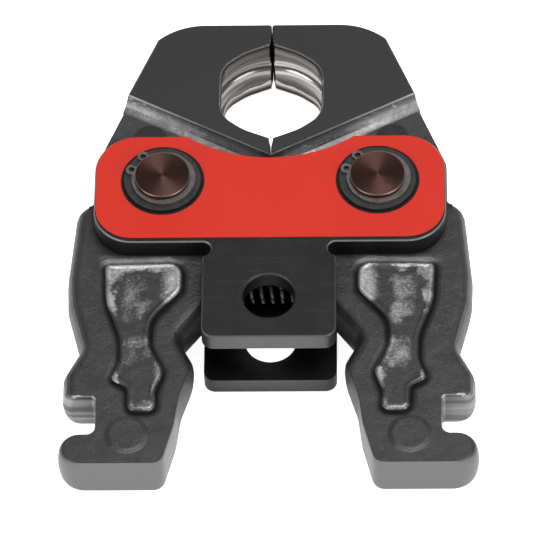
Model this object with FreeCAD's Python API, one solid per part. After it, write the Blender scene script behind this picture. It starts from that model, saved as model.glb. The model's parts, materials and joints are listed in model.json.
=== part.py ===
import FreeCAD, Part
import math
import os

# Press fitting tool jaw, in millimetres.
#
# Two forged jaw levers swing on two pivot pins that are held between a front and a rear
# T-shaped bearing plate. The heads of the levers close on a six-sided pressing bore with a
# ring groove, and the feet are spread by the rollers of the pressing tool. The tails of the
# plates hold the lock bore for the tool's locking bolt. A coil spring between the inner lobes
# of the levers keeps the heads closed.
#
# Frame: the origin is on the axis of the lock bore, half way between the two plates.
# +X points to the right lever, +Y from the tail to the heads, +Z to the labelled front.
# Heights called "above" or "below" are measured along Y.

Vector = FreeCAD.Vector
UP = Vector(0, 0, 1)

# Pivots and lock bore
pin_pitch = 60.6  # between the axes of the two pivot pins
pivot_above_lock = 39.3  # pivot line above the lock bore
pin_radius = 7.8
running_clearance = 0.05  # radial, pin in lever and in plates
pin_end_chamfer = 0.2
pin_tip = 1.35  # pin beyond the ring groove
lock_bore_radius = 7.25
lock_bore_chamfer = 0.5

# Thicknesses
boss_thickness = 15.8  # lever at its pivot
side_clearance = 0.1  # between lever boss and plate
boss_radius = 19.2
arm_step = 0.9  # forged arm face below the boss face
head_thickness = 21.6
plate_thickness = 6.0

# Bearing plates
plate_end_reach = 19.2  # plate end beyond the pivot axis
plate_top = 15.7  # top edge above the pivot line
plate_dip = 8.3  # lowest point of the curved top edge above the pivot line
plate_dip_half_width = 23.7
plate_dip_corner = 1.5
plate_top_corner = 12.0
plate_bottom_corner = 11.0
crossbar_below_pivot = 21.0
tail_width = 37.2
tail_below_lock = 13.7
tail_corner = 3.2
tail_shoulder_corner = 1.4
relief_radius = 2.3  # round relief in the corner of crossbar and tail
plate_edge_chamfer = 0.35

# Label
label_thickness = 0.15
label_side_margin = 0.45
label_top_margin = 0.35
label_bottom_margin = 1.4
label_cutout_radius = 11.8

# Washers and retaining rings
washer_outer_radius = 10.8
washer_thickness = 0.8
axial_play = 0.05
ring_thickness = 1.0
ring_groove_play = 0.1
ring_groove_depth = 0.4
ring_seat_clearance = 0.03
ring_back_width = 1.95
ring_tip_width = 1.2
ring_gap_half_angle = 8.5  # degrees
ring_gap_direction = 145.0  # degrees from +X
ring_lug_radius = 1.6
ring_lug_hole_radius = 0.85
ring_lug_half_angle = 17.5  # degrees
ring_lug_reach = 1.4  # lug centre outside the pin surface

# Pressing bore
bore_above_pivot = 34.2
bore_rim_circumradius = 17.2  # six-sided rim, to its corners on the split
bore_land_circumradius = 16.6  # six-sided lands
bore_rim_depth = 1.2  # tapered lead-in from each face
bore_corner = 8.5
bore_bow = 1.1  # how far the sloping sides bow outwards
bore_bow_radius = 16.0
bead_zone_radius = 16.8  # round zone between the six-sided lands
bead_zone_half_width = 8.4
bead_zone_blend = 5.0
bead_groove_radius = 17.8  # ring groove in the middle of the round zone
bead_groove_half_width = 1.9
split_flare_half_width = 0.8
split_flare_length = 2.9

# Lever head
closing_gap = 0.12
head_above_bore = 24.1
head_shoulder_out = 2.6  # shoulder corner beyond the pivot axis
head_shoulder_run = 6.4  # from the shoulder corner inwards to where the tangents meet
head_shoulder_radius = 20.0
head_shoulder_drop = 5.2  # shoulder corner below the head top
head_edge_chamfer = 0.5
flank_foot_out = 19.8  # lower end of the straight flank beyond the pivot axis
flank_foot_above_pivot = 11.2
face_tip_above_pivot = 11.7  # where the two sloping face edges meet
face_edge_rise = 0.527  # rise of the face edge for each millimetre outwards
ramp_run = 4.2
ramp_step_run = 0.5  # steep first part of the ramp, under the machined face
ramp_step_drop = 1.0
ramp_foot_run = 1.9  # flatter last part of the ramp
ramp_foot_rise = 0.7

# Lever arm
shoulder_below_pivot = 2.6
waist_depth = 4.5  # outer waist inside the arm reach
arm_reach = 26.8  # outer edge of the arm beyond the pivot axis
foot_reach = 27.4
foot_below_pivot = 89.6
notch_below_pivot = 68.2  # upper wall of the foot notch
notch_height = 11.7
notch_floor_out = 17.4  # floor of the notch beyond the pivot axis
lobe_gap = 27.2  # between the two inner lobes
lobe_bottom_below_pivot = 33.7
lobe_top_below_pivot = 19.5
outer_draft = 3.8  # how far the forged outer side leans in
inner_draft = 1.3
flank_draft = 0.4
scoop_draft = 4.2  # at the hollow below the lobe
edge_break = 0.5

# Raised forging panel and flat spots
panel_clearance = 0.05  # crown of the panel's rim below the boss face
panel_rim_width = 2.0
panel_sink = 0.12  # middle of the panel below its rim
moat_width = 2.0
moat_depth = 0.8
foot_spot_radius = 4.7
foot_spot_base_radius = 6.2
foot_spot_height = 0.45
foot_spot_out = 8.4
foot_spot_below_pivot = 80.5
head_spot_radius = 4.7
head_spot_out = 4.3
head_spot_above_pivot = 19.8
head_spot_height = 0.3

# Return spring
spring_below_pivot = 26.9
spring_wire_radius = 0.7
spring_mean_radius = 4.15
spring_turns = 13.5
spring_pocket_depth = 6.5
spring_pocket_clearance = 0.3
spring_end_clearance = 0.1

# Worked out
pivot_x = -pin_pitch / 2
pivot_y = pivot_above_lock
boss_half = boss_thickness / 2
arm_half = boss_half - arm_step
panel_height = arm_step - panel_clearance
head_half = head_thickness / 2
plate_inner = boss_half + side_clearance
plate_outer = plate_inner + plate_thickness
hole_radius = pin_radius + running_clearance
washer_inner_radius = pin_radius + 2 * running_clearance
groove_start = plate_outer + washer_thickness + axial_play
groove_width = ring_thickness + ring_groove_play
groove_radius = pin_radius - ring_groove_depth
pin_half_length = groove_start + groove_width + pin_tip
bore_y = pivot_y + bore_above_pivot
head_top_y = bore_y + head_above_bore
spring_y = pivot_y - spring_below_pivot
spring_pocket_radius = spring_mean_radius + spring_wire_radius + spring_pocket_clearance
pocket_floor_x = -lobe_gap / 2 - spring_pocket_depth


def corner_wire(corners, z, share=0.0):
    """Closed wire through (x, y, radius, draft) corners, in counter-clockwise order.

    Each edge is moved inwards by share times the draft given at its first corner.
    """
    count = len(corners)
    lines = []
    for i in range(count):
        start = Vector(corners[i][0], corners[i][1], 0)
        end = Vector(corners[(i + 1) % count][0], corners[(i + 1) % count][1], 0)
        along = (end - start).normalize()
        inward = Vector(-along.y, along.x, 0)
        lines.append((start + inward * corners[i][3] * share, along))
    points = []
    for i in range(count):
        before, d1 = lines[i - 1]
        after, d2 = lines[i]
        cross = d1.x * d2.y - d1.y * d2.x
        if abs(cross) < 1e-6:
            points.append(after)
            continue
        gap = after - before
        reach = (gap.x * d2.y - gap.y * d2.x) / cross
        points.append(before + d1 * reach)
    pieces = []
    for i in range(count):
        here = points[i]
        back = (points[i - 1] - here).normalize()
        ahead = (points[(i + 1) % count] - here).normalize()
        convex = lines[i - 1][1].x * lines[i][1].y - lines[i - 1][1].y * lines[i][1].x > 0
        moved = share * min(corners[i - 1][3], corners[i][3])
        radius = corners[i][2]
        if radius > 0:
            radius = max(radius - moved, 0.25) if convex else radius + moved
        half = back.getAngle(ahead) / 2
        if radius == 0 or abs(half - math.pi / 2) < 1e-4:
            pieces.append((here, None, here))
            continue
        reach = radius / math.tan(half)
        centre = here + (back + ahead).normalize() * (radius / math.sin(half))
        middle = centre + (here - centre).normalize() * radius
        pieces.append((here + back * reach, middle, here + ahead * reach))
    edges = []
    for i in range(count):
        first, middle, last = pieces[i]
        if middle is not None:
            edges.append(Part.Arc(first, middle, last).toShape())
        following = pieces[(i + 1) % count][0]
        edges.append(Part.LineSegment(last, following).toShape())
    wire = Part.Wire(edges)
    wire.translate(Vector(0, 0, z))
    return wire


def plain(points, radius=0.0):
    """Corners with one radius and no draft."""
    return [(x, y, radius, 0.0) for x, y in points]


def prism(corners, low, high):
    """Straight solid between two heights over the outline through the corners."""
    face = Part.Face(corner_wire(corners, low))
    return face.extrude(Vector(0, 0, high - low))


def drum(radius, x, y, low, high):
    """Cylinder along Z."""
    return Part.makeCylinder(radius, high - low, Vector(x, y, low), UP)


def both_faces(shape):
    """The shape and its mirror image below the middle plane, as a list."""
    return [shape, shape.mirror(Vector(0, 0, 0), UP)]


def right_hand(shape):
    """Mirror image of a left-hand shape."""
    return shape.mirror(Vector(0, 0, 0), Vector(1, 0, 0))


def out(distance):
    """X of a point that lies outside the left pivot axis by the distance."""
    return pivot_x - distance


def below(distance):
    """Y of a point below the pivot line by the distance."""
    return pivot_y - distance


def chamfer_rims(shape, size, heights):
    """Chamfers every edge that lies flat at one of the heights."""
    edges = []
    for edge in shape.Edges:
        box = edge.BoundBox
        for height in heights:
            if abs(box.ZMin - height) < 1e-6 and abs(box.ZMax - height) < 1e-6:
                edges.append(edge)
    return shape.makeChamfer(size, edges)


# Bearing plates


def half_tee(side):
    """Corners of one half of the T outline, from the crossbar end inwards and down."""
    end = pin_pitch / 2 + plate_end_reach
    tail = tail_width / 2
    shoulder = below(crossbar_below_pivot)
    points = [
        (end, pivot_y + plate_top, plate_top_corner),
        (end, shoulder, plate_bottom_corner),
        (tail, shoulder, 0.0),
        (tail, -tail_below_lock, tail_corner),
    ]
    return [(side * x, y, radius, 0.0) for x, y, radius in points]


def dip_cutter(centre_x, tip_y, top_y, half_width, low, high):
    """Solid that cuts the curved dip into the top edge of a plate or label."""
    rise = top_y - tip_y
    radius = (half_width**2 + rise**2) / (2 * rise)
    return drum(radius, centre_x, tip_y + radius, low, high)


def upright_edges_at(shape, x):
    """Upright edges at the distance x on either side of the centre line."""
    return [
        edge
        for edge in shape.Edges
        if edge.BoundBox.ZLength > plate_thickness / 2
        and abs(abs(edge.BoundBox.Center.x) - x) < 0.01
    ]


def bearing_plate():
    """Front plate: T outline with a curved dip, two pin holes and the lock bore."""
    low = plate_inner
    high = plate_outer
    tail = tail_width / 2
    blank = prism(half_tee(-1) + half_tee(1)[::-1], low, high)
    top = pivot_y + plate_top
    tip = pivot_y + plate_dip
    blank = blank.cut(dip_cutter(0, tip, top, plate_dip_half_width, low, high))
    for x in (-tail, tail):
        relief_y = below(crossbar_below_pivot + relief_radius)
        blank = blank.cut(drum(relief_radius, x, relief_y, low, high))
    tips = upright_edges_at(blank, plate_dip_half_width)
    blank = blank.makeFillet(plate_dip_corner, tips)
    shoulders = [
        edge
        for edge in upright_edges_at(blank, tail)
        if edge.BoundBox.Center.y < below(crossbar_below_pivot + relief_radius)
        and edge.BoundBox.Center.y > 0
    ]
    blank = blank.makeFillet(tail_shoulder_corner, shoulders)
    blank = chamfer_rims(blank, plate_edge_chamfer, [high])
    for x in (-pin_pitch / 2, pin_pitch / 2):
        blank = blank.cut(drum(hole_radius, x, pivot_y, low, high))
    blank = blank.cut(drum(lock_bore_radius, 0, 0, low, high))
    wide = lock_bore_radius + lock_bore_chamfer
    cone_start = Vector(0, 0, high - lock_bore_chamfer)
    outer_cone = Part.makeCone(lock_bore_radius, wide, lock_bore_chamfer, cone_start, UP)
    cone_start = Vector(0, 0, low)
    inner_cone = Part.makeCone(wide, lock_bore_radius, lock_bore_chamfer, cone_start, UP)
    return blank.cut(outer_cone).cut(inner_cone)


def front_label():
    """Thin label on the crossbar, cut out around the washers."""
    end = pin_pitch / 2 + plate_end_reach - label_side_margin
    top = pivot_y + plate_top - label_top_margin
    bottom = below(crossbar_below_pivot) + label_bottom_margin
    corners = [
        (end, top, plate_top_corner - label_side_margin, 0.0),
        (-end, top, plate_top_corner - label_side_margin, 0.0),
        (-end, bottom, plate_bottom_corner - label_side_margin, 0.0),
        (end, bottom, plate_bottom_corner - label_side_margin, 0.0),
    ]
    low = plate_outer
    high = plate_outer + label_thickness
    sheet = prism(corners, low, high)
    tip = pivot_y + plate_dip - label_top_margin
    sheet = sheet.cut(dip_cutter(0, tip, top, plate_dip_half_width, low, high))
    for x in (-pin_pitch / 2, pin_pitch / 2):
        sheet = sheet.cut(drum(label_cutout_radius, x, pivot_y, low, high))
    return sheet


# Pins, washers and rings


def pivot_pin():
    """Left pin with a ring groove near each end."""
    pin = drum(pin_radius, pivot_x, pivot_y, -pin_half_length, pin_half_length)
    pin = chamfer_rims(pin, pin_end_chamfer, [-pin_half_length, pin_half_length])
    for start in (groove_start, -groove_start - groove_width):
        sleeve = drum(pin_radius + 1, pivot_x, pivot_y, start, start + groove_width)
        core = drum(groove_radius, pivot_x, pivot_y, start, start + groove_width)
        pin = pin.cut(sleeve.cut(core))
    return pin


def washer():
    """Washer on the front of the left end of the front plate."""
    low = plate_outer + axial_play / 2
    high = low + washer_thickness
    disc = drum(washer_outer_radius, pivot_x, pivot_y, low, high)
    return disc.cut(drum(washer_inner_radius, pivot_x, pivot_y, low, high))


def retaining_ring():
    """External snap ring with two eyed lugs, in the front groove of the left pin."""
    low = groove_start + ring_groove_play / 2
    high = low + ring_thickness
    inner = groove_radius + ring_seat_clearance
    outer = inner + (ring_back_width + ring_tip_width) / 2
    offset = (ring_back_width - ring_tip_width) / 2
    ring = drum(outer, -offset, 0, low, high)
    for side in (-1, 1):
        angle = math.radians(side * ring_lug_half_angle)
        reach = pin_radius + ring_lug_reach
        lug = drum(ring_lug_radius, reach * math.cos(angle), reach * math.sin(angle), low, high)
        ring = ring.fuse(lug)
    ring = ring.cut(drum(inner, 0, 0, low, high))
    opening = math.radians(ring_gap_half_angle)
    far = outer + 3 * ring_lug_radius
    wedge = [(0, 0), (far, -far * math.tan(opening)), (far, far * math.tan(opening))]
    ring = ring.cut(prism(plain(wedge), low, high))
    for side in (-1, 1):
        angle = math.radians(side * ring_lug_half_angle)
        reach = pin_radius + ring_lug_reach
        hole_x = reach * math.cos(angle)
        hole_y = reach * math.sin(angle)
        ring = ring.cut(drum(ring_lug_hole_radius, hole_x, hole_y, low, high))
    ring = ring.removeSplitter()
    ring.rotate(Vector(0, 0, 0), UP, ring_gap_direction)
    ring.translate(Vector(pivot_x, pivot_y, 0))
    return ring


# Jaw levers


def flank_x(y):
    """X of the straight outer flank of the left head at height y."""
    top_x = out(head_shoulder_out)
    top_y = head_top_y - head_shoulder_drop
    foot_x = out(flank_foot_out)
    foot_y = pivot_y + flank_foot_above_pivot
    return top_x + (foot_x - top_x) * (top_y - y) / (top_y - foot_y)


def face_edge_y(x):
    """Y of the lower edge of the head face at x."""
    return pivot_y + face_tip_above_pivot - face_edge_rise * x


def head_block():
    """Thick machined head with its sloping ramp down to the arm."""
    slope = math.atan(face_edge_rise)
    drop = ramp_run / math.cos(slope)
    closing_x = -closing_gap / 2
    rise = face_edge_rise
    top_x = out(head_shoulder_out)
    top_y = head_top_y - head_shoulder_drop
    foot_x = out(flank_foot_out)
    foot_y = pivot_y + flank_foot_above_pivot
    lean = (foot_x - top_x) / (foot_y - top_y)
    tip = pivot_y + face_tip_above_pivot - drop
    corner_y = (tip - rise * (top_x - lean * top_y)) / (1 + rise * lean)
    corner_x = top_x + lean * (corner_y - top_y)
    corners = [
        (closing_x, head_top_y, 0.8, 0.0),
        (top_x + head_shoulder_run, head_top_y, head_shoulder_radius, 0.0),
        (top_x, top_y, 1.5, 0.0),
        (corner_x, corner_y, 0.0, 0.0),
        (closing_x, tip - rise * closing_x, 0.0, 0.0),
    ]
    block = prism(corners, -head_half, head_half)
    rims = []
    for edge in block.Edges:
        box = edge.BoundBox
        flat = box.ZLength < 1e-6
        on_ramp = abs(box.YMin - (tip - rise * closing_x)) < 0.01
        on_split = box.XLength < 1e-6 and abs(box.XMin - closing_x) < 1e-6
        if flat and not on_ramp and not on_split:
            rims.append(edge)
    block = block.makeChamfer(head_edge_chamfer, rims)
    along = Vector(-math.cos(slope), math.sin(slope), 0)
    across = Vector(-math.sin(slope), -math.cos(slope), 0)
    start = Vector(closing_x, face_edge_y(closing_x), 0) - along * 10
    past = 1.0
    steep = ramp_step_drop / ramp_step_run
    step_height = head_half - ramp_step_drop
    gentle = ramp_foot_rise / ramp_foot_run
    profile = [
        start - across * past / steep + UP * (head_half + past),
        start + across * ramp_step_run + UP * step_height,
        start + across * (ramp_run - ramp_foot_run) + UP * (arm_half + ramp_foot_rise),
        start + across * (ramp_run + past) + UP * (arm_half - past * gentle),
        start + across * (ramp_run + past) + UP * (head_half + past),
    ]
    wire = Part.makePolygon(profile + [profile[0]])
    wedge = Part.Face(wire).extrude(along * (2 * pin_pitch))
    for cutter in both_faces(wedge):
        block = block.cut(cutter)
    return block


def arm_corners():
    """Outline of the forged lever on its parting plane: x, y, corner radius and draft."""
    lobe_x = -lobe_gap / 2
    notch_top = below(notch_below_pivot)
    notch_bottom = notch_top - notch_height
    flank_top = face_edge_y(out(11)) - 2
    heel = below(foot_below_pivot)
    closing_x = -closing_gap / 2
    return [
        (closing_x - 5, bore_y - 10, 0.0, 0.0),
        (out(5), bore_y, 0.0, 0.0),
        (flank_x(flank_top), flank_top, 0.0, flank_draft),
        (out(flank_foot_out), pivot_y + flank_foot_above_pivot - 0.5, 5.0, flank_draft),
        (out(flank_foot_out), below(shoulder_below_pivot), 1.4, inner_draft),
        (out(arm_reach - 2.2), below(shoulder_below_pivot), 4.5, outer_draft),
        (out(arm_reach - 0.2), below(27), 20.0, outer_draft),
        (out(arm_reach - 0.6), below(36), 14.0, outer_draft),
        (out(arm_reach - waist_depth), below(51.2), 5.0, outer_draft),
        (out(arm_reach), below(60), 5.0, outer_draft),
        (out(arm_reach), notch_top, 2.6, 0.5),
        (out(notch_floor_out), notch_top, 1.2, 0.4),
        (out(notch_floor_out), notch_bottom, 2.2, 0.4),
        (out(foot_reach), notch_bottom, 4.6, 2.2),
        (out(foot_reach), heel, 5.0, 0.0),
        (out(-1.5), heel, 3.2, edge_break),
        (out(-4.8), below(77), 30.0, edge_break),
        (out(-5.9), below(67.5), 20.0, edge_break),
        (out(-9.7), below(55.5), 4.0, scoop_draft),
        (out(-5.9), below(48.1), 2.5, scoop_draft),
        (lobe_x, below(lobe_bottom_below_pivot), 2.0, edge_break),
        (lobe_x, below(lobe_top_below_pivot), 4.0, edge_break),
        (lobe_x + 2.5, below(5), 8.0, edge_break),
        (closing_x, below(-7.6), 1.5, 0.0),
        (closing_x, pivot_y + face_tip_above_pivot + 2, 0.0, 0.0),
    ]


def forged_arm():
    """Forged lever, widest on its parting plane and rounded towards both faces."""
    corners = arm_corners()
    steps = [(1.0, 1.0), (0.985, 0.8), (0.95, 0.6), (0.87, 0.4), (0.72, 0.22), (0.45, 0.08)]
    steps.append((0.0, 0.0))
    levels = [(-height, share) for height, share in steps]
    levels += [(height, share) for height, share in steps[-2::-1]]
    wires = [corner_wire(corners, height * arm_half, share) for height, share in levels]
    return Part.makeLoft(wires, True, True)


def panel_corners():
    """Outline of the raised panel on the left arm."""
    points = [
        (15.9, 23.8, 1.6),
        (15.4, 36.5, 18.0),
        (11.2, 48.5, 16.0),
        (11.0, 56.0, 6.0),
        (13.4, 62.6, 1.6),
        (8.8, 65.2, 2.4),
        (8.4, 73.0, 2.2),
        (0.6, 73.0, 2.2),
        (1.0, 66.5, 3.0),
        (-1.4, 60.0, 4.0),
        (3.0, 51.0, 11.0),
        (2.6, 42.5, 10.0),
        (-5.8, 33.0, 4.0),
        (-5.8, 23.2, 4.0),
    ]
    return [(out(x), below(y), radius, 1.0) for x, y, radius in points]


def raised_panel():
    """Panel that stands on the arm face, with a domed rim round a slightly sunk middle."""
    corners = panel_corners()
    crown = panel_height
    middle = panel_height - panel_sink
    profile = [
        (-1.0, 0.0),
        (0.3 * crown, 0.05),
        (0.66 * crown, 0.16),
        (0.9 * crown, 0.32),
        (crown, 0.5),
        (crown - 0.2 * panel_sink, 0.66),
        (crown - 0.7 * panel_sink, 0.86),
        (middle, 1.0),
    ]
    wires = [
        corner_wire(corners, arm_half + height, share * panel_rim_width)
        for height, share in profile
    ]
    return Part.makeLoft(wires, True, True)


def panel_moat():
    """Shallow groove around the raised panel, deepest at its foot."""
    corners = panel_corners()
    profile = [(1.0, 0.0), (0.8, 0.2), (0.45, 0.42), (0.15, 0.7), (0.0, 1.0), (-0.1, 1.2)]
    wires = [
        corner_wire(corners, arm_half - moat_depth * depth, -moat_width * reach)
        for depth, reach in profile
    ]
    return Part.makeLoft(wires, True, True)


def bore_outline(circumradius):
    """Corners of the six-sided bore: two lie on the split, and the sloping sides are bowed."""
    bow_reach = circumradius * math.cos(math.radians(30)) + bore_bow
    corners = []
    for i in range(6):
        angle = math.radians(90 + 60 * i)
        x = circumradius * math.cos(angle)
        y = bore_y + circumradius * math.sin(angle)
        corners.append((x, y, 0.05 if i % 3 == 0 else bore_corner, 0.0))
        if i % 3 != 1:
            middle = angle + math.radians(30)
            x = bow_reach * math.cos(middle)
            y = bore_y + bow_reach * math.sin(middle)
            corners.append((x, y, bore_bow_radius, 0.0))
    return corners


def ring_profile():
    """Solid of revolution that hollows the round bead zone and its middle groove."""
    half = bead_zone_half_width
    start = bead_zone_radius - bead_zone_blend
    inner = start - 1
    slant = bead_zone_radius - 0.3 * bead_zone_blend
    level = half - bead_zone_blend
    groove = bead_groove_half_width
    corners = [
        Vector(inner, 0, half),
        Vector(start, 0, half),
        Vector(slant, 0, half - 0.3 * bead_zone_blend),
        Vector(bead_zone_radius, 0, level),
        Vector(bead_zone_radius, 0, groove),
        Vector(bead_groove_radius, 0, 0),
    ]
    lower = [Vector(corner.x, 0, -corner.z) for corner in corners]
    edges = [
        Part.makeLine(corners[0], corners[1]),
        Part.Arc(corners[1], corners[2], corners[3]).toShape(),
        Part.makeLine(corners[3], corners[4]),
        Part.Arc(corners[4], corners[5], lower[4]).toShape(),
        Part.makeLine(lower[4], lower[3]),
        Part.Arc(lower[3], lower[2], lower[1]).toShape(),
        Part.makeLine(lower[1], lower[0]),
        Part.makeLine(lower[0], corners[0]),
    ]
    ring = Part.Face(Part.Wire(edges)).revolve(Vector(0, 0, 0), UP, 360)
    ring.translate(Vector(0, bore_y, 0))
    return ring


def split_flares():
    """Pointed reliefs where the bore runs into the split, above and below."""
    flares = []
    for side in (-1, 1):
        mouth = bore_y + side * (bore_rim_circumradius - 1.0)
        tip = bore_y + side * (bore_rim_circumradius + split_flare_length)
        outline = [(-split_flare_half_width, mouth), (split_flare_half_width, mouth), (0, tip)]
        if side < 0:
            outline = outline[::-1]
        flares.append(prism(plain(outline), -head_half - 1, head_half + 1))
    return flares


def bore_tools():
    """Everything that the closed jaw leaves free for the fitting, as a list of solids."""
    bore = prism(bore_outline(bore_land_circumradius), -head_half - 1, head_half + 1)
    land = corner_wire(bore_outline(bore_land_circumradius), head_half - bore_rim_depth)
    rim = corner_wire(bore_outline(bore_rim_circumradius), head_half)
    lead_in = Part.makeLoft([land, rim], True, True)
    return [bore, ring_profile()] + both_faces(lead_in) + split_flares()


def jaw_lever():
    """Left lever: forged arm, machined head, boss, pin hole, spring pocket and bore half."""
    lever = forged_arm().fuse(head_block())
    lever = lever.fuse(drum(boss_radius, pivot_x, pivot_y, -boss_half, boss_half))
    for moat, panel in zip(both_faces(panel_moat()), both_faces(raised_panel())):
        lever = lever.cut(moat).fuse(panel)
    spot_x = out(foot_spot_out)
    spot_y = below(foot_spot_below_pivot)
    foot_spot = Part.makeCone(
        foot_spot_base_radius,
        foot_spot_radius,
        foot_spot_height,
        Vector(spot_x, spot_y, arm_half),
        UP,
    )
    foot_spot = foot_spot.fuse(drum(foot_spot_base_radius, spot_x, spot_y, arm_half - 1, arm_half))
    level = arm_half + head_spot_height
    mark_x = out(head_spot_out)
    mark_y = pivot_y + head_spot_above_pivot
    head_spot = drum(head_spot_radius, mark_x, mark_y, arm_half - 1, level)
    above_spot = drum(head_spot_radius, mark_x, mark_y, level, head_half + 1)
    for piece in both_faces(foot_spot) + both_faces(head_spot):
        lever = lever.fuse(piece)
    for piece in both_faces(above_spot):
        lever = lever.cut(piece)
    for tool in bore_tools():
        lever = lever.cut(tool)
    lever = lever.cut(drum(hole_radius, pivot_x, pivot_y, -head_half, head_half))
    pocket = Part.makeCylinder(
        spring_pocket_radius,
        spring_pocket_depth + 5,
        Vector(pocket_floor_x, spring_y, 0),
        Vector(1, 0, 0),
    )
    return lever.cut(pocket)


# Return spring


def return_spring():
    """Compression spring across the jaw, seated in the pockets of both levers."""
    seat = -pocket_floor_x - spring_end_clearance - spring_wire_radius
    length = 2 * seat
    pitch = length / spring_turns
    helix = Part.makeHelix(pitch, length, spring_mean_radius)
    start = Vector(spring_mean_radius, 0, 0)
    slope = math.atan(pitch / (2 * math.pi * spring_mean_radius))
    heading = Vector(0, math.cos(slope), math.sin(slope))
    section = Part.Wire(Part.makeCircle(spring_wire_radius, start, heading))
    coil = Part.Wire(helix).makePipeShell([section], True, True)
    coil.rotate(Vector(0, 0, 0), Vector(0, 1, 0), 90)
    coil.translate(Vector(-seat, spring_y, 0))
    return coil


def save(name, shape):
    """Writes one named piece."""
    shape.exportStep(os.path.join("parts", name + ".step"))


def main():
    os.makedirs("parts", exist_ok=True)
    lever = jaw_lever()
    save("left_jaw_lever", lever)
    save("right_jaw_lever", right_hand(lever))
    front_plate, rear_plate = both_faces(bearing_plate())
    save("front_bearing_plate", front_plate)
    save("rear_bearing_plate", rear_plate)
    save("front_label", front_label())
    pin = pivot_pin()
    across = Vector(pin_pitch, 0, 0)
    save("left_pivot_pin", pin)
    save("right_pivot_pin", pin.translated(across))
    for name, piece in (("washer", washer()), ("retaining_ring", retaining_ring())):
        for face, shape in zip(("front", "rear"), both_faces(piece)):
            save(face + "_left_" + name, shape)
            save(face + "_right_" + name, shape.translated(across))
    save("return_spring", return_spring())


main()
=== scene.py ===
import json
import math

import bmesh
import bpy
from mathutils import Matrix, Vector


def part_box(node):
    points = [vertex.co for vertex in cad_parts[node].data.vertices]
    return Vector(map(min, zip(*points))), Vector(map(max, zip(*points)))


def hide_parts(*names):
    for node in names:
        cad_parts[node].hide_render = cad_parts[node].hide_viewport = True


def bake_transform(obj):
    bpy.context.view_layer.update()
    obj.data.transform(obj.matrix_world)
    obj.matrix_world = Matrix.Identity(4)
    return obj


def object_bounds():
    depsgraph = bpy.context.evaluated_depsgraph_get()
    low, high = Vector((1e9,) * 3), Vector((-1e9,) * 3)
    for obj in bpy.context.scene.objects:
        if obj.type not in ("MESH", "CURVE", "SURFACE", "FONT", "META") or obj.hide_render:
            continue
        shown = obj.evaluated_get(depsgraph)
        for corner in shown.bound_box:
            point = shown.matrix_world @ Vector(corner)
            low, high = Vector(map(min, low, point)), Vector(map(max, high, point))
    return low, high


# Looks for a press fitting tool jaw: two forged levers between blackened plates, lying on
# its back on a pale floor. All lengths are in metres.

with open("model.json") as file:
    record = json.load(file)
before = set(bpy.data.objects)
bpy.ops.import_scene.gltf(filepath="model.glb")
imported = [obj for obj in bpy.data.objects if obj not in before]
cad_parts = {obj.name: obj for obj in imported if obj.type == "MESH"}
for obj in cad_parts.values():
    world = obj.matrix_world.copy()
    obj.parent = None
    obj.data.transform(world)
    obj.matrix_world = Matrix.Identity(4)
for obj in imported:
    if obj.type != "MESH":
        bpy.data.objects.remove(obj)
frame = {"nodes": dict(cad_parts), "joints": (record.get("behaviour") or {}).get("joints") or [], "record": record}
cad_low, cad_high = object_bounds()

NODES = frame["nodes"]
JOINTS = {joint["name"]: joint for joint in frame["joints"]}
LEFT_PIVOT = Vector(JOINTS["left_lever_pivot"]["pos_m"])
RIGHT_PIVOT = Vector(JOINTS["right_lever_pivot"]["pos_m"])
MOUNTS = {mount["name"]: mount for mount in frame["record"]["mounts"]}
BORE_CENTRE = Vector(MOUNTS["press_contour"]["pos_m"])

# Heights of a lever's faces over its parting plane
ARM_FACE = 0.0070
PANEL_MIDDLE = 0.00773
PANEL_CROWN = 0.00785
HEAD_FACE = 0.0108
LEAD_IN_HEIGHT = 0.0096  # where the bore's tapered lead-in starts

# Soft zones on a lever. Each pair is where a border starts and where it ends: above and below
# are measured along Y, outside and inside away from the split between the levers.
PANEL = {"above": (-0.0353, -0.0345), "below": (0.0168, 0.0176)}
PANEL_LIP = {
    "above": (0.0152, 0.0164),
    "below": (0.0180, 0.0192),
    "outside": (0.0220, 0.0250),
    "inside": (0.0463, 0.0493),
}
FOOT_SIDE = {"below": (-0.0390, -0.0280)}
NOTCH_WALL = {"above": (-0.039, -0.035), "below": (-0.026, -0.022), "outside": (0.043, 0.046)}
NOTCH_EDGE = {
    "above": (-0.0298, -0.0294),
    "below": (-0.0282, -0.0278),
    "outside": (0.0457, 0.0467),
    "inside": (0.0535, 0.0545),
}
OUTER_SIDE = {"outside": (0.0440, 0.0480)}

# Soft borders by the lean of a face: 0 is upright, 1 is level
WALL_LEAN = (0.35, 0.6)
SIDE_LEAN = (0.6, 0.9)
RAMP_LEAN = (0.25, 0.3)
FLAT_RAMP_LEAN = (0.82, 0.92)
BORE_LEAN = (0.8, 0.9)
PLATE_EDGE_LEAN = (0.3, 0.9)
PIN_RIM_LEAN = (0.3, 0.6)
PIN_FACE_LEAN = (0.9, 0.97)

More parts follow.
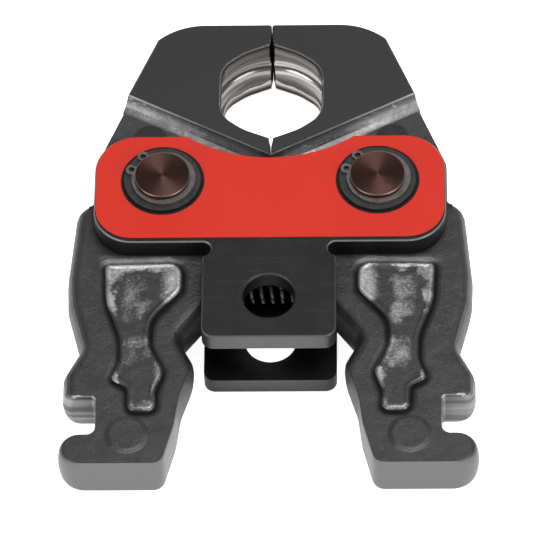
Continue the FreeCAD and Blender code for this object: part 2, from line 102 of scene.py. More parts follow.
# Where handling rubs the raised panel, how strongly, and how far clouds shift those places
BORDER_WANDER = 0.0022  # outwards
BORDER_DRIFT = 0.0030  # along Y
HANDLED = {
    "upper end": (0.74, {"above": (0.0118, 0.0146)}),
    "inner corner": (0.95, {"above": (0.0000, 0.0060), "inside": (0.0270, 0.0335)}),
    "outer corner": (0.90, {"above": (0.0080, 0.0115), "outside": (0.0390, 0.0420)}),
    "outer side": (0.75, {"above": (-0.0090, 0.0030), "outside": (0.0412, 0.0440)}),
    "foot": (0.62, {"below": (-0.0325, -0.0290)}),
    "inner side of the foot": (0.72, {"below": (-0.0200, -0.0170), "inside": (0.0310, 0.0335)}),
    "tip beside the notch": (
        0.75,
        {"above": (-0.0262, -0.0242), "below": (-0.0215, -0.0195), "outside": (0.0400, 0.0420)},
    ),
    "upper spine": (
        0.56,
        {
            "above": (-0.0075, -0.0025),
            "below": (0.0100, 0.0150),
            "outside": (0.0310, 0.0360),
            "inside": (0.0390, 0.0440),
        },
    ),
    "lower spine": (
        0.60,
        {
            "above": (-0.0230, -0.0180),
            "below": (-0.0110, -0.0060),
            "outside": (0.0297, 0.0347),
            "inside": (0.0380, 0.0430),
        },
    ),
}

# Sloping lower edge of the machined head faces, and the round spot below it
EDGE_TIP = 0.0510  # where the edges of both levers meet, along Y
EDGE_RISE = 0.527  # for each metre outwards
EDGE_COSINE = math.cos(math.atan(EDGE_RISE))
HEAD_SPOT = (0.0346, 0.0591, 0.0)
SPOT_BORDER = (0.0045, 0.0049)  # from its centre

# Soft borders on the ramp, by the distance below that edge
HEAD_EDGE = (-0.0003, 0.0)
ARRIS_END = (0.0002, 0.0004)
WEAR_START = (0.0006, 0.0019)
WEAR_END = (0.0032, 0.0044)
RAMP_FOOT = (0.0042, 0.0046)
DARK_END = (0.012, 0.014)
RAMP_OUTER_END = (0.026, 0.046)  # away from the split between the levers

# Pressing bore: soft borders away from its axis and through it, along Z
BORE_WALL = (0.0181, 0.0183)
BEAD_ZONE = (-0.0035, 0.0030)
# painted shade on the upper bore wall rises over this span along Z
UPPER_WALL_SHADE = (0.0012, 0.0040)
# painted shade on the left half of the bore starts over this span along Z
LEFT_HALF_SHADE = (-0.006, 0.0)
SPLIT = (-0.001, 0.001)  # across the split
REAR_LAND = (-0.0087, -0.0081)

# Bearing plates and pins
LOCK_BORE_EDGE = (0.009, 0.0095)  # from the axis of the lock bore
TAIL_END = (0.010, 0.013)  # along Y
PIN_RIM = (0.00745, 0.0076)  # from the pin's axis
TURNING_PITCH = 0.00022  # between the turning marks on the pin faces

# Return spring
SPRING_WIRE_RADIUS = 0.0007
SPRING_TURNS = 13.5
STEPS_PER_TURN = 28
SIDES_OF_WIRE = 12

# Studio
FLOOR_RADIUS = 6.0
BACKDROP_HEIGHT = 1.0
FLOOR_GAP = 0.0002  # keeps the floor clear of the faces that lie on it
CAMERA_GLOW = 0.9  # lifts the floor to white for the camera
MIRROR_GLOW = 0.5  # lifts it where metal mirrors it
ROOM_LEVEL = 0.28
LAMP_TARGET = (0.0, 0.04, 0.0)
LAMPS = {
    "top_box": {"place": (0.35, -0.1, 2.2), "size": (1.5, 1.2), "power": 33.0},
    "front_left_box": {"place": (-1.5, -1.3, 0.95), "size": (1.5, 1.2), "power": 17.0},
    "front_right_box": {"place": (1.5, -1.25, 1.0), "size": (1.3, 1.2), "power": 15.0},
    "back_strip": {"place": (0.0, 2.4, 0.45), "size": (3.0, 0.5), "power": 8.0},
}

# Camera, fitted to the photograph's frame of 542 by 542 pixels
FRAME_PIXELS = 542
CAMERA_DISTANCE = 1.3
CAMERA_ELEVATION = math.radians(54.36)
CAMERA_AZIMUTH = math.radians(2.41)
CAMERA_ROLL = math.radians(-2.34)
FOCAL_PIXELS = 4571.7
AIM_PIXEL = (271.22, 209.36)  # where the point half way between the pivots is seen
SENSOR_WIDTH = 36.0


# Shader building blocks


def wire_up(tree, node, wires):
    """Gives each named input of a node a value or another node's output."""
    for name, value in wires.items():
        if isinstance(value, bpy.types.NodeSocket):
            tree.links.new(value, node.inputs[name])
        else:
            node.inputs[name].default_value = value


def put(tree, kind, wires, **settings):
    """Adds a shader node with its inputs and settings."""
    made = tree.nodes.new(kind)
    for name, value in settings.items():
        setattr(made, name, value)
    wire_up(tree, made, wires)
    return made


def calc(tree, operation, first, second=0.0):
    """Result of one arithmetic step."""
    return put(tree, "ShaderNodeMath", {0: first, 1: second}, operation=operation).outputs[0]


def rise(tree, value, low, high):
    """0 below low, 1 above high, and a smooth rise between them."""
    wires = {"Value": value, "From Min": low, "From Max": high}
    step = put(tree, "ShaderNodeMapRange", wires, interpolation_type="SMOOTHSTEP")
    return step.outputs["Result"]


def fall(tree, value, low, high):
    """1 below low, 0 above high."""
    return calc(tree, "SUBTRACT", 1.0, rise(tree, value, low, high))


def between(tree, value, low, high, soft):
    """1 between low and high, with soft borders of the given width."""
    inside = rise(tree, value, low - soft / 2, low + soft / 2)
    return both(tree, inside, fall(tree, value, high - soft / 2, high + soft / 2))


def both(tree, first, second):
    """Product of two masks."""
    return calc(tree, "MULTIPLY", first, second)


def overlap(tree, masks):
    """Product of several masks."""
    mask = masks[0]
    for other in masks[1:]:
        mask = both(tree, mask, other)
    return mask


def either(tree, first, second):
    """The larger of two masks."""
    return calc(tree, "MAXIMUM", first, second)


def widest(tree, masks):
    """The larger of several masks at each point."""
    mask = masks[0]
    for other in masks[1:]:
        mask = either(tree, mask, other)
    return mask


def share(tree, mask, amount):
    """A mask or a length times a constant."""
    return calc(tree, "MULTIPLY", mask, amount)


def outside_of(tree, mask):
    """1 where a mask is 0."""
    return fall(tree, mask, 0.0, 1.0)


def blend_colour(tree, amount, under, over):
    """Colour over laid on colour under where the mask is 1."""
    mix = put(tree, "ShaderNodeMix", {0: amount, 6: under, 7: over}, data_type="RGBA")
    return mix.outputs[2]


def paint(tree, colour, layers):
    """Lays tones on a colour in turn, each by its mask and strength."""
    for mask, strength, tone in layers:
        colour = blend_colour(tree, share(tree, mask, strength), colour, tone)
    return colour


def blend_value(tree, amount, under, over):
    """Value between under and over by the mask."""
    wires = {"Value": amount, "To Min": under, "To Max": over}
    return put(tree, "ShaderNodeMapRange", wires).outputs["Result"]


def grey(level, warm=0.0):
    """Linear grey with a slight warm or cool cast."""
    return (level * (1 + warm), level, level * (1 - warm), 1.0)


def new_group(name, inputs, outputs):
    """Empty shader node group with named sockets, and its two end nodes."""
    tree = bpy.data.node_groups.new(name, "ShaderNodeTree")
    for socket, kind in inputs:
        tree.interface.new_socket(name=socket, in_out="INPUT", socket_type=kind)
    for socket, kind in outputs:
        tree.interface.new_socket(name=socket, in_out="OUTPUT", socket_type=kind)
    return tree, tree.nodes.new("NodeGroupInput"), tree.nodes.new("NodeGroupOutput")


FLOAT = "NodeSocketFloat"
VECTOR = "NodeSocketVector"


def noise(tree, place, scale, detail, roughness=0.5):
    """Smooth noise, about 0.5 on average."""
    wires = {"Vector": place, "Scale": scale, "Detail": detail, "Roughness": roughness}
    return put(tree, "ShaderNodeTexNoise", wires, noise_dimensions="3D").outputs[0]


def stretched(tree, place, scale):
    """The place, scaled along each axis so that a pattern draws out along the small ones."""
    return put(tree, "ShaderNodeMapping", {"Vector": place, "Scale": scale}).outputs[0]


def mottle_group():
    """Cloudy patches with a ragged border, from 0 to 1."""
    inputs = [("Position", VECTOR), ("Patches per metre", FLOAT), ("Sharpness", FLOAT)]
    tree, start, end = new_group("Mottle", inputs, [("Mask", FLOAT)])
    given = start.outputs
    cloud = noise(tree, given["Position"], given["Patches per metre"], detail=6.0, roughness=0.62)
    half = calc(tree, "DIVIDE", 0.5, given["Sharpness"])
    low = calc(tree, "SUBTRACT", 0.5, half)
    high = calc(tree, "ADD", 0.5, half)
    tree.links.new(rise(tree, cloud, low, high), end.inputs["Mask"])
    return tree


def grain_group():
    """Fine grain as a height from 0 to 1, with sparse pits in it."""
    inputs = [("Position", VECTOR), ("Grains per metre", FLOAT), ("Pit share", FLOAT)]
    tree, start, end = new_group("Grain", inputs, [("Height", FLOAT)])
    given = start.outputs
    grains = noise(tree, given["Position"], given["Grains per metre"], detail=4.0, roughness=0.6)
    third = calc(tree, "DIVIDE", given["Grains per metre"], 3.0)
    wires = {"Vector": given["Position"], "Scale": third}
    cells = put(tree, "ShaderNodeTexVoronoi", wires, feature="F1")
    pits = fall(tree, cells.outputs["Distance"], 0.0, given["Pit share"])
    height = calc(tree, "SUBTRACT", grains, share(tree, pits, 0.6))
    tree.links.new(height, end.inputs["Height"])
    return tree


def scratch_group():
    """Thin straight scratches along X of the given position."""
    inputs = [("Position", VECTOR), ("Lines per metre", FLOAT)]
    tree, start, end = new_group("Scratches", inputs, [("Mask", FLOAT)])
    drawn_out = stretched(tree, start.outputs["Position"], (0.06, 1.0, 1.0))
    streaks = noise(tree, drawn_out, start.outputs["Lines per metre"], detail=3.0)
    tree.links.new(rise(tree, streaks, 0.55, 0.75), end.inputs["Mask"])
    return tree


def axis_group():
    """Distance of the surface from an upright axis."""
    inputs = [("Position", VECTOR), ("Axis", VECTOR)]
    tree, start, end = new_group("Axis distance", inputs, [("Distance", FLOAT)])
    kind = "ShaderNodeVectorMath"
    wires = {0: start.outputs["Position"], 1: start.outputs["Axis"]}
    offset = put(tree, kind, wires, operation="SUBTRACT")
    wires = {0: offset.outputs["Vector"], 1: (1.0, 1.0, 0.0)}
    flat = put(tree, kind, wires, operation="MULTIPLY")
    length = put(tree, kind, {0: flat.outputs["Vector"]}, operation="LENGTH")
    tree.links.new(length.outputs["Value"], end.inputs["Distance"])
    return tree


def shelter_group():
    """1 in the open, towards 0 in corners and under other pieces."""
    tree, start, end = new_group("Shelter", [("Reach", FLOAT)], [("Openness", FLOAT)])
    wires = {"Distance": start.outputs["Reach"]}
    hidden = put(tree, "ShaderNodeAmbientOcclusion", wires, samples=6)
    tree.links.new(hidden.outputs["AO"], end.inputs["Openness"])
    return tree


def rings_group():
    """Bands that run round a bore or along a wall, one above the other."""
    inputs = [("Position", VECTOR), ("Bands per metre", FLOAT)]
    tree, start, end = new_group("Rings", inputs, [("Mask", FLOAT)])
    drawn_out = stretched(tree, start.outputs["Position"], (0.03, 0.03, 1.0))
    bands = noise(tree, drawn_out, start.outputs["Bands per metre"], detail=3.0)
    tree.links.new(rise(tree, bands, 0.38, 0.62), end.inputs["Mask"])
    return tree


MOTTLE = mottle_group()
GRAIN = grain_group()
SCRATCHES = scratch_group()
AXIS_DISTANCE = axis_group()
SHELTER = shelter_group()
RINGS = rings_group()


def use_group(tree, group, wires):
    """Places a node group in a material and returns its only output."""
    made = tree.nodes.new("ShaderNodeGroup")
    made.node_tree = group
    wire_up(tree, made, wires)
    return made.outputs[0]


def mottle(tree, place, patches, sharpness):
    """Cloudy mask of the given patch density."""
    wires = {"Position": place, "Patches per metre": patches, "Sharpness": sharpness}
    return use_group(tree, MOTTLE, wires)


def grain(tree, place, grains, pit_share):
    """Height of a fine grain."""
    wires = {"Position": place, "Grains per metre": grains, "Pit share": pit_share}
    return use_group(tree, GRAIN, wires)


def scratches(tree, place, lines):
    """Mask of thin scratches across the part."""
    return use_group(tree, SCRATCHES, {"Position": place, "Lines per metre": lines})


def axis_distance(tree, place, axis):
    """Distance from an upright axis through the given point."""
    return use_group(tree, AXIS_DISTANCE, {"Position": place, "Axis": tuple(axis)})


def openness(tree, reach):
    """1 in the open, towards 0 where something stands within reach."""
    return use_group(tree, SHELTER, {"Reach": reach})


def rings(tree, place, bands):
    """Mask of bands one above the other."""
    return use_group(tree, RINGS, {"Position": place, "Bands per metre": bands})


def position(tree):
    """Where the surface lies on the part."""
    return tree.nodes.new("ShaderNodeTexCoord").outputs["Object"]


def axes(tree, vector):
    """The X, Y and Z of a vector."""
    parts = put(tree, "ShaderNodeSeparateXYZ", {0: vector}).outputs
    return parts["X"], parts["Y"], parts["Z"]


def level(tree):
    """1 on faces that lie flat, 0 on upright walls."""
    turn = tree.nodes.new("ShaderNodeTexCoord").outputs["Normal"]
    return calc(tree, "ABSOLUTE", axes(tree, turn)[2])


def new_material(name):
    """Material with an empty Principled shader; returns the material, tree and shader."""
    material = bpy.data.materials.new(name)
    material.use_nodes = True
    tree = material.node_tree
    tree.nodes.clear()
    shader = tree.nodes.new("ShaderNodeBsdfPrincipled")
    end = tree.nodes.new("ShaderNodeOutputMaterial")
    tree.links.new(shader.outputs[0], end.inputs["Surface"])
    return material, tree, shader


def bump(tree, height, distance):
    """Normal raised by a height map."""
    wires = {"Height": height, "Distance": distance}
    return put(tree, "ShaderNodeBump", wires).outputs["Normal"]


# Finishes


class LeverSurface:
    """Coordinates and cloud masks on a lever, shared by the parts of its finish."""

    def __init__(self, tree):
        self.tree = tree
        self.place = position(tree)
        self.facing_up = level(tree)
        self.across, self.along, self.through = axes(tree, self.place)
        self.outward = calc(tree, "ABSOLUTE", self.across)
        self.height = calc(tree, "ABSOLUTE", self.through)
        self.clouds = mottle(tree, self.place, patches=240.0, sharpness=2.4)
        self.blotches = mottle(tree, self.place, patches=90.0, sharpness=3.0)
        self.specks = mottle(tree, self.place, patches=1300.0, sharpness=2.4)
        self.streaks = scratches(tree, self.place, lines=900.0)
        self.rings = rings(tree, self.place, bands=420.0)
        coarse = calc(tree, "ADD", self.blotches, self.clouds)
        self.uneven = calc(
            tree, "ADD", share(tree, coarse, 0.35), share(tree, self.specks, 0.30)
        )

    def zone(self, borders, outward=None, along=None):
        """1 within the borders of a zone, at this place or at a given one."""
        if outward is None:
            outward = self.outward
        if along is None:
            along = self.along
        sides = {
            "above": (rise, along),
            "below": (fall, along),
            "outside": (rise, outward),
            "inside": (fall, outward),
        }
        fades = []
        for side, border in borders.items():
            fade, distance = sides[side]
            fades.append(fade(self.tree, distance, *border))
        return overlap(self.tree, fades)


def rubbed_panel(tree, lever):
    """Raised panel, rubbed bright on its domed rim and wherever it is handled."""
    wander = share(tree, calc(tree, "SUBTRACT", lever.clouds, 0.5), BORDER_WANDER)
    drift = share(tree, calc(tree, "SUBTRACT", lever.blotches, 0.5), BORDER_DRIFT)
    outward = calc(tree, "ADD", lever.outward, wander)
    along = calc(tree, "ADD", lever.along, drift)
    zones = []
    for strength, borders in HANDLED.values():
        zones.append(share(tree, lever.zone(borders, outward, along), strength))
    handled = widest(tree, zones)
    rim = rise(tree, lever.height, PANEL_MIDDLE - 0.00001, PANEL_CROWN - 0.00002)
    swing = calc(tree, "SUBTRACT", lever.uneven, 0.5)
    wear = both(tree, handled, blend_value(tree, rim, 0.82, 1.0))
    wear = calc(tree, "ADD", wear, both(tree, swing, blend_value(tree, handled, 0.3, 1.0)))
    raised = rise(tree, lever.height, ARM_FACE, ARM_FACE + 0.0004)
    return overlap(tree, [lever.zone(PANEL), raised, rise(tree, wear, 0.28, 1.0)])


def rubbed_edges(tree, lever):
    """Lip above the panel and upper edge of the foot notch, where the scale is worn off."""
    lip = both(tree, lever.zone(PANEL_LIP), blend_value(tree, lever.uneven, 0.02, 0.24))
    rounded = between(tree, lever.facing_up, 0.3, 0.97, 0.06)
    notch_edge = both(tree, rounded, lever.zone(NOTCH_EDGE))
    notch_edge = both(tree, notch_edge, blend_value(tree, lever.uneven, 0.3, 1.0))
    return either(tree, lip, notch_edge)


def ramp_masks(tree, lever):
    """Ramp below the machined head, the dark arm below it, its wear with a painted highlight on the arris, and the
    round spot.
    """
    edge = calc(tree, "ADD", share(tree, lever.outward, EDGE_RISE), EDGE_TIP)
    below = share(tree, calc(tree, "SUBTRACT", edge, lever.along), EDGE_COSINE)
    past_edge = both(tree, rise(tree, below, *HEAD_EDGE), fall(tree, below, *DARK_END))
    ramp = both(tree, past_edge, fall(tree, below, *RAMP_FOOT))
    ramp = both(tree, ramp, rise(tree, lever.facing_up, *RAMP_LEAN))
    arris = both(tree, ramp, fall(tree, below, *ARRIS_END))
    wires = {0: lever.place}
    mirrored = put(tree, "ShaderNodeVectorMath", wires, operation="ABSOLUTE").outputs["Vector"]
    off_spot = axis_distance(tree, mirrored, HEAD_SPOT)
    spot = both(tree, fall(tree, off_spot, *SPOT_BORDER), past_edge)
    slope = both(tree, rise(tree, below, *WEAR_START), fall(tree, below, *WEAR_END))
    steeper = fall(tree, lever.facing_up, *FLAT_RAMP_LEAN)
    slope = both(tree, slope, blend_value(tree, steeper, 0.66, 1.0))
    wear = both(tree, both(tree, ramp, slope), blend_value(tree, lever.uneven, 0.02, 0.76))
    outer_end = rise(tree, lever.outward, *RAMP_OUTER_END)
    wear = both(tree, wear, blend_value(tree, outer_end, 1.0, 0.6))
    streaks = both(tree, share(tree, lever.streaks, 0.4), ramp)
    # wear, with the arris line as a painted highlight along the head's edge
    wear = widest(tree, [wear, share(tree, arris, 0.42), streaks])
    dark = both(tree, past_edge, outside_of(tree, spot))
    return {"ramp": ramp, "dark under the head": dark, "ramp wear and arris highlight": wear, "spot": spot}


def wall_masks(tree, lever):
    """Machined sides of the foot and the notch, and the outer side of the arm."""
    steep = fall(tree, lever.facing_up, *WALL_LEAN)
    leaning = fall(tree, lever.facing_up, *SIDE_LEAN)
    foot_side = both(tree, steep, lever.zone(FOOT_SIDE))
    notch_wall = both(tree, steep, lever.zone(NOTCH_WALL))
    return {
        "foot side": foot_side,
        "notch wall": notch_wall,
        "machined": either(tree, foot_side, notch_wall),
        "outer side": both(tree, leaning, lever.zone(OUTER_SIDE)),
    }


def head_masks(tree, lever):
    """Ground face of the head, wall of the bore, its tapered lead-in and its arris, which gets a painted
    highlight.
    """
    ground = rise(tree, lever.height, HEAD_FACE - 0.0002, HEAD_FACE - 0.00005)
    reach = axis_distance(tree, lever.place, BORE_CENTRE)
    steep = fall(tree, lever.facing_up, *BORE_LEAN)
    bore = both(tree, fall(tree, reach, *BORE_WALL), steep)
    lead_in = rise(tree, lever.height, LEAD_IN_HEIGHT, LEAD_IN_HEIGHT + 0.0001)
    arris = rise(tree, lever.height, HEAD_FACE - 0.0006, HEAD_FACE - 0.0004)
    return {
        "bore": bore,
        "lead-in": both(tree, bore, lead_in),
        "bore arris highlight": both(tree, bore, arris),
        "rear land": fall(tree, lever.through, *REAR_LAND),
        "head face": both(tree, ground, outside_of(tree, bore)),
    }


def crevice_shade(tree, lever, bore):
    """Painted shade in the groove round the panel and in the inner corners, outside the bore."""
    sunk = fall(tree, lever.height, ARM_FACE - 0.0006, ARM_FACE)
    closed_in = fall(tree, openness(tree, reach=0.005), 0.5, 0.97)
    crevice = both(tree, closed_in, blend_value(tree, sunk, 0.35, 0.95))
    return both(tree, crevice, outside_of(tree, bore))


def bore_painted_reflection(tree, lever, rear_land):
    """Colour of the bore's wall as painted reflection: bands from ring noise, a painted highlight on the bead
    zone, and painted shade above it, on the left half and on the rear land.
    """
    bead = between(tree, lever.through, *BEAD_ZONE, 0.001)
    # painted shade on the upper part of the wall, towards the front face
    upper_wall_shade = rise(tree, lever.through, *UPPER_WALL_SHADE)
    # painted shade on the left half of the wall
    left_half_shade = both(tree, fall(tree, lever.across, *SPLIT), rise(tree, lever.through, *LEFT_HALF_SHADE))
    # painted reflection: bright and dark bands from the ring noise
    polished = blend_colour(tree, lever.rings, grey(0.13, 0.09), grey(0.56, 0.03))
    layers = (
        # painted highlight on the bead zone
        (bead, 0.6, grey(0.80, 0.01)),
        (upper_wall_shade, 0.72, grey(0.06, 0.09)),
        (left_half_shade, 0.6, grey(0.06, 0.09)),
        # painted shade on the rear land
        (rear_land, 0.9, grey(0.03, 0.05)),
    )
    return paint(tree, polished, layers)


def lever_colour(tree, lever, masks):
    """Dark scale, then each worn, machined, ground or polished place over it, with painted shade in crevices, a
    painted sheen on the outer side, painted highlights on the arrises and a painted reflection in the bore.
    """
    scale = blend_colour(tree, lever.clouds, grey(0.056, 0.01), grey(0.076, 0.01))
    layers = (
        (lever.specks, 0.25, grey(0.12)),
        # outer side: partly polish, partly a painted sheen on the leaning faces
        (masks["outer side"], 0.5, grey(0.14)),
        (masks["foot side"], 1.0, grey(0.148)),
        (masks["notch wall"], 1.0, blend_colour(tree, lever.rings, grey(0.11), grey(0.30))),
        (masks["rubbed"], 1.0, grey(0.58)),
        (masks["dark under the head"], 1.0, grey(0.09)),
        # ramp wear, with a painted highlight on the arris
        (masks["ramp wear and arris highlight"], 1.0, grey(0.72)),
        (masks["spot"], 0.9, grey(0.05)),
        # painted shade where the surface is closed in
        (crevice_shade(tree, lever, masks["bore"]), 0.42, grey(0.012)),
        (masks["head face"], 1.0, grey(0.070, 0.005)),
        # painted reflection on the bore's wall
        (masks["bore"], 1.0, bore_painted_reflection(tree, lever, masks["rear land"])),
        (masks["lead-in"], 1.0, grey(0.18, 0.04)),
        # painted highlight on the bore's front arris
        (masks["bore arris highlight"], 1.0, grey(0.75)),
    )
    return paint(tree, scale, layers)


def lever_roughness(tree, masks):
    """Dull scale, smoother where it is rubbed, machined, ground or polished."""
    roughness = blend_value(tree, masks["rubbed"], 0.46, 0.4)
    roughness = blend_value(tree, masks["machined"], roughness, 0.36)
    roughness = blend_value(tree, masks["head face"], roughness, 0.42)
    in_bore = blend_value(tree, masks["rear land"], 0.19, 0.55)
    return blend_value(tree, masks["bore"], roughness, in_bore)


def lever_relief(tree, lever, masks):
    """Grain of the scale, flatter on machined faces, with marks on the ramp and in the bore."""
    grains = grain(tree, lever.place, grains=1900.0, pit_share=0.22)
    relief = calc(tree, "ADD", grains, share(tree, lever.clouds, 0.8))
    relief = both(tree, relief, blend_value(tree, masks["head face"], 1.0, 0.06))
    relief = both(tree, relief, blend_value(tree, masks["machined"], 1.0, 0.25))
    relief = both(tree, relief, blend_value(tree, masks["bore"], 1.0, 0.02))
    drawn = both(tree, lever.streaks, share(tree, masks["ramp"], 0.4))
    relief = calc(tree, "ADD", relief, drawn)
    turned = both(tree, lever.rings, share(tree, masks["bore"], 0.12))
    return calc(tree, "ADD", relief, turned)


def forged_steel(name):
    """Dark scaled forging with rubbed rims, machined foot sides, ground head, polished bore."""
    material, tree, shader = new_material(name)
    lever = LeverSurface(tree)
    masks = {**ramp_masks(tree, lever), **wall_masks(tree, lever), **head_masks(tree, lever)}
    masks["rubbed"] = either(tree, rubbed_panel(tree, lever), rubbed_edges(tree, lever))
    wires = {"Base Color": lever_colour(tree, lever, masks), "Metallic": 0.85}
    wires["Roughness"] = lever_roughness(tree, masks)
    wires["Normal"] = bump(tree, lever_relief(tree, lever, masks), distance=0.00009)
    wire_up(tree, shader, wires)
    return material


def blackened_plate(name):
    """Blackened steel plate with a fine grain, lighter sheared edge walls on the tail, painted shade on the
    crossbar's edge walls and where other pieces close it in, and painted highlights on the bevels.
    """
    material, tree, shader = new_material(name)
    place = position(tree)
    facing_up = level(tree)
    along = axes(tree, place)[1]
    clouds = mottle(tree, place, patches=120.0, sharpness=1.2)
    from_lock_bore = axis_distance(tree, place, (0.0, 0.0, 0.0))
    steep = fall(tree, facing_up, *PLATE_EDGE_LEAN)
    outer_edge = both(tree, steep, rise(tree, from_lock_bore, *LOCK_BORE_EDGE))
    bevel = between(tree, facing_up, 0.55, 0.88, 0.12)
    lock_bevel = both(tree, bevel, fall(tree, from_lock_bore, *LOCK_BORE_EDGE))
    on_tail = fall(tree, along, *TAIL_END)
    layers = (
        (scratches(tree, place, lines=1400.0), 0.25, grey(0.09)),
        # edge walls: lighter bare steel on the tail, kept dark on the crossbar as painted shade
        (outer_edge, 1.0, blend_colour(tree, on_tail, grey(0.045), grey(0.118))),
        # bevels: a painted highlight, brighter on the crossbar than on the tail
        (bevel, 1.0, blend_colour(tree, on_tail, grey(0.20), grey(0.11))),
        (lock_bevel, 0.7, grey(0.05)),
    )
    colour = paint(tree, blend_colour(tree, clouds, grey(0.024), grey(0.036)), layers)
    # painted shade: darker where other pieces close the plate in
    in_the_open = rise(tree, openness(tree, reach=0.02), 0.45, 0.95)
    colour = blend_colour(tree, in_the_open, grey(0.006), colour)
    wires = {"Base Color": colour, "Metallic": 0.8}
    wires["Roughness"] = blend_value(tree, clouds, 0.38, 0.48)
    relief = grain(tree, place, grains=2600.0, pit_share=0.2)
    wires["Normal"] = bump(tree, relief, distance=0.00012)
    wire_up(tree, shader, wires)
    return material


def red_film(name):
    """Printed red film with a faint orange peel and a soft sheen."""
    material, tree, shader = new_material(name)
    place = position(tree)
    clouds = mottle(tree, place, patches=60.0, sharpness=1.0)
    dull = (0.60, 0.026, 0.013, 1.0)
    fresh = (0.62, 0.028, 0.014, 1.0)
    wires = {"Base Color": blend_colour(tree, clouds, dull, fresh)}
    wires["Roughness"] = blend_value(tree, clouds, 0.42, 0.48)
    wires["Specular IOR Level"] = 0.3
    relief = grain(tree, place, grains=1800.0, pit_share=0.0)
    wires["Normal"] = bump(tree, relief, distance=0.00002)
    wire_up(tree, shader, wires)
    return material


def turned_pin(name, centre):
    """Dark brown pin with fine turning rings on its faces and a painted highlight on its chamfer rim."""
    material, tree, shader = new_material(name)
    place = position(tree)
    facing_up = level(tree)
    reach = axis_distance(tree, place, centre)
    marks = calc(tree, "SINE", share(tree, reach, 2 * math.pi / TURNING_PITCH))
    marks = both(tree, marks, rise(tree, facing_up, *PIN_FACE_LEAN))
    rim = both(tree, rise(tree, reach, *PIN_RIM), rise(tree, facing_up, *PIN_RIM_LEAN))
    dark = (0.063, 0.031, 0.027, 1.0)
    light = (0.085, 0.042, 0.036, 1.0)
    clouds = mottle(tree, place, patches=300.0, sharpness=1.0)
    colour = blend_colour(tree, clouds, dark, light)
    # painted highlight on the chamfer rim
    colour = blend_colour(tree, rim, colour, (0.17, 0.13, 0.11, 1.0))
    wires = {"Base Color": colour, "Metallic": 1.0, "Roughness": 0.32}
    wires["Normal"] = bump(tree, marks, distance=TURNING_PITCH * 0.055)
    wire_up(tree, shader, wires)
    return material


def small_steel(name, light, dark, roughness, warm=0.0):
    """Stamped or drawn steel of a washer, snap ring or spring."""
    material, tree, shader = new_material(name)
    place = position(tree)
    clouds = mottle(tree, place, patches=500.0, sharpness=1.2)
    wires = {"Base Color": blend_colour(tree, clouds, grey(dark, warm), grey(light, warm))}
    wires["Metallic"] = 0.9
    wires["Roughness"] = blend_value(tree, clouds, roughness, roughness + 0.12)
    relief = grain(tree, place, grains=3500.0, pit_share=0.2)
    wires["Normal"] = bump(tree, relief, distance=0.00005)
    wire_up(tree, shader, wires)
    return material


def dress(name, material):
    """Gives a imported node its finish."""
    slots = NODES[name].data.materials
    slots.clear()
    slots.append(material)


def dress_nodes():
    """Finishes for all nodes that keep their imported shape."""
    forged = forged_steel("forged_steel_finish")
    plate = blackened_plate("blackened_plate_finish")
    washer = small_steel("washer_finish", light=0.09, dark=0.05, roughness=0.35)
    ring = small_steel("snap_ring_finish", light=0.25, dark=0.16, roughness=0.3, warm=0.06)
    for side, pivot in (("left", LEFT_PIVOT), ("right", RIGHT_PIVOT)):
        dress(side + "_jaw_lever", forged)
        dress(side + "_pivot_pin", turned_pin(side + "_pin_finish", pivot))
        for face in ("front", "rear"):
            dress(face + "_" + side + "_washer", washer)
            dress(face + "_" + side + "_retaining_ring", ring)
    dress("front_bearing_plate", plate)
    dress("rear_bearing_plate", plate)
    dress("front_label", red_film("red_film_finish"))
    return small_steel("spring_wire_finish", light=0.12, dark=0.06, roughness=0.22)


# Return spring


def spring_half(name, side, material):
    """Half of the coil spring, from the middle to the seat in one lever."""
    low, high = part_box("return_spring")
    centre = (low + high) / 2
    coil_radius = (high.z - low.z) / 2 - SPRING_WIRE_RADIUS
    reach = (high.x - low.x) / 2 - SPRING_WIRE_RADIUS
    turns = SPRING_TURNS / 2
    mesh = bpy.data.meshes.new(name)
    work = bmesh.new()
    spot = Matrix.Translation((0.0, 0.0, coil_radius)) @ Matrix.Rotation(math.pi / 2, 4, "X")
    bmesh.ops.create_circle(
        work, cap_ends=False, segments=SIDES_OF_WIRE, radius=SPRING_WIRE_RADIUS, matrix=spot
    )
    steps = int(turns * STEPS_PER_TURN)
    bmesh.ops.spin(
        work,
        geom=work.edges[:],
        cent=(0.0, 0.0, 0.0),
        axis=(1.0, 0.0, 0.0),
        dvec=(side * reach / steps, 0.0, 0.0),
        angle=side * turns * 2 * math.pi,
        steps=steps,
    )
    bmesh.ops.translate(work, verts=work.verts[:], vec=centre)
    bmesh.ops.recalc_face_normals(work, faces=work.faces[:])
    for face in work.faces:
        face.smooth = True
    work.to_mesh(mesh)
    work.free()
    half = bpy.data.objects.new(name, mesh)
    bpy.context.scene.collection.objects.link(half)
    half.data.materials.append(material)
    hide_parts("return_spring")
    return half


def return_spring(material):
    """Both halves of the spring, each running from the middle to the seat in one lever."""
    for name, side in (("left", -1), ("right", 1)):
        half = spring_half("return_spring_" + name + "_half", side, material)
        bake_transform(half)


# Studio scene


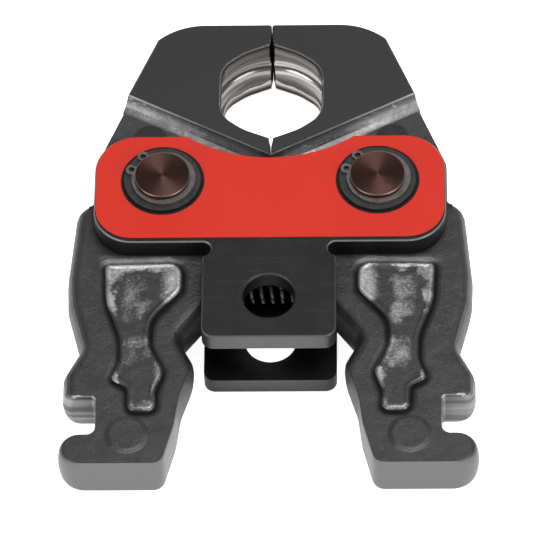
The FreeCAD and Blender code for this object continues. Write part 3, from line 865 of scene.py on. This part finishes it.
def floor():
    """Pale round floor with a low backdrop, white except where the jaw's shadow falls."""
    mesh = bpy.data.meshes.new("studio_floor")
    work = bmesh.new()
    bmesh.ops.create_circle(work, cap_ends=True, segments=64, radius=FLOOR_RADIUS)
    raised = bmesh.ops.extrude_edge_only(work, edges=work.edges[:])["geom"]
    rim = [item for item in raised if isinstance(item, bmesh.types.BMVert)]
    bmesh.ops.translate(work, verts=rim, vec=(0.0, 0.0, BACKDROP_HEIGHT))
    bmesh.ops.translate(work, verts=work.verts[:], vec=(0.0, 0.0, cad_low.z - FLOOR_GAP))
    work.to_mesh(mesh)
    work.free()
    ground = bpy.data.objects.new("studio_floor", mesh)
    bpy.context.scene.collection.objects.link(ground)
    material, tree, shader = new_material("studio_floor_paint")
    path = tree.nodes.new("ShaderNodeLightPath").outputs
    mirrored = either(tree, path["Is Glossy Ray"], path["Is Transmission Ray"])
    glow = share(tree, mirrored, MIRROR_GLOW)
    glow = either(tree, glow, share(tree, path["Is Camera Ray"], CAMERA_GLOW))
    wires = {"Base Color": grey(0.92), "Roughness": 0.9, "Specular IOR Level": 0.0}
    wires["Emission Color"] = grey(1.0)
    wires["Emission Strength"] = glow
    wire_up(tree, shader, wires)
    ground.data.materials.append(material)


def softbox(name, place, size, power):
    """Rectangular light aimed at the jaw."""
    lamp = bpy.data.lights.new(name, "AREA")
    lamp.shape = "RECTANGLE"
    lamp.size, lamp.size_y = size
    lamp.energy = power
    holder = bpy.data.objects.new(name, lamp)
    bpy.context.scene.collection.objects.link(holder)
    holder.location = place
    aim = Vector(LAMP_TARGET) - Vector(place)
    holder.rotation_euler = aim.to_track_quat("-Z", "Y").to_euler()


def studio_light():
    """Large box overhead, one on either side in front, a low strip behind, a dim room."""
    for name, lamp in LAMPS.items():
        softbox(name, **lamp)
    world = bpy.data.worlds.new("grey_room")
    bpy.context.scene.world = world
    world.use_nodes = True
    tree = world.node_tree
    tree.nodes.clear()
    room = put(tree, "ShaderNodeBackground", {"Color": grey(1.0), "Strength": ROOM_LEVEL})
    put(tree, "ShaderNodeOutputWorld", {"Surface": room.outputs[0]})


def camera():
    """Camera at the photograph's viewing angle, with a long lens and a slight roll."""
    look = Vector(
        (
            math.sin(CAMERA_AZIMUTH) * math.cos(CAMERA_ELEVATION),
            -math.cos(CAMERA_AZIMUTH) * math.cos(CAMERA_ELEVATION),
            math.sin(CAMERA_ELEVATION),
        )
    )
    sideways = Vector((math.cos(CAMERA_AZIMUTH), math.sin(CAMERA_AZIMUTH), 0.0))
    upright = look.cross(sideways)
    right = sideways * math.cos(CAMERA_ROLL) + upright * math.sin(CAMERA_ROLL)
    up = upright * math.cos(CAMERA_ROLL) - sideways * math.sin(CAMERA_ROLL)
    offset_x = (AIM_PIXEL[0] - FRAME_PIXELS / 2) / FOCAL_PIXELS
    offset_y = (FRAME_PIXELS / 2 - AIM_PIXEL[1]) / FOCAL_PIXELS
    back = (look + up * offset_y + right * offset_x).normalized()
    up = (up - back * up.dot(back)).normalized()
    right = up.cross(back)
    target = (LEFT_PIVOT + RIGHT_PIVOT) / 2
    data = bpy.data.cameras.new("photo_camera")
    data.sensor_width = SENSOR_WIDTH
    data.lens = FOCAL_PIXELS / FRAME_PIXELS * SENSOR_WIDTH
    data.clip_end = 20.0
    holder = bpy.data.objects.new("photo_camera", data)
    bpy.context.scene.collection.objects.link(holder)
    turn = Matrix((right, up, back)).transposed().to_4x4()
    holder.matrix_world = Matrix.Translation(target + look * CAMERA_DISTANCE) @ turn
    bpy.context.scene.camera = holder


def main():
    """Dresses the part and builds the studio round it."""
    spring_wire = dress_nodes()
    return_spring(spring_wire)
    floor()
    studio_light()
    camera()
    bpy.context.scene.view_settings.view_transform = "Standard"


main()
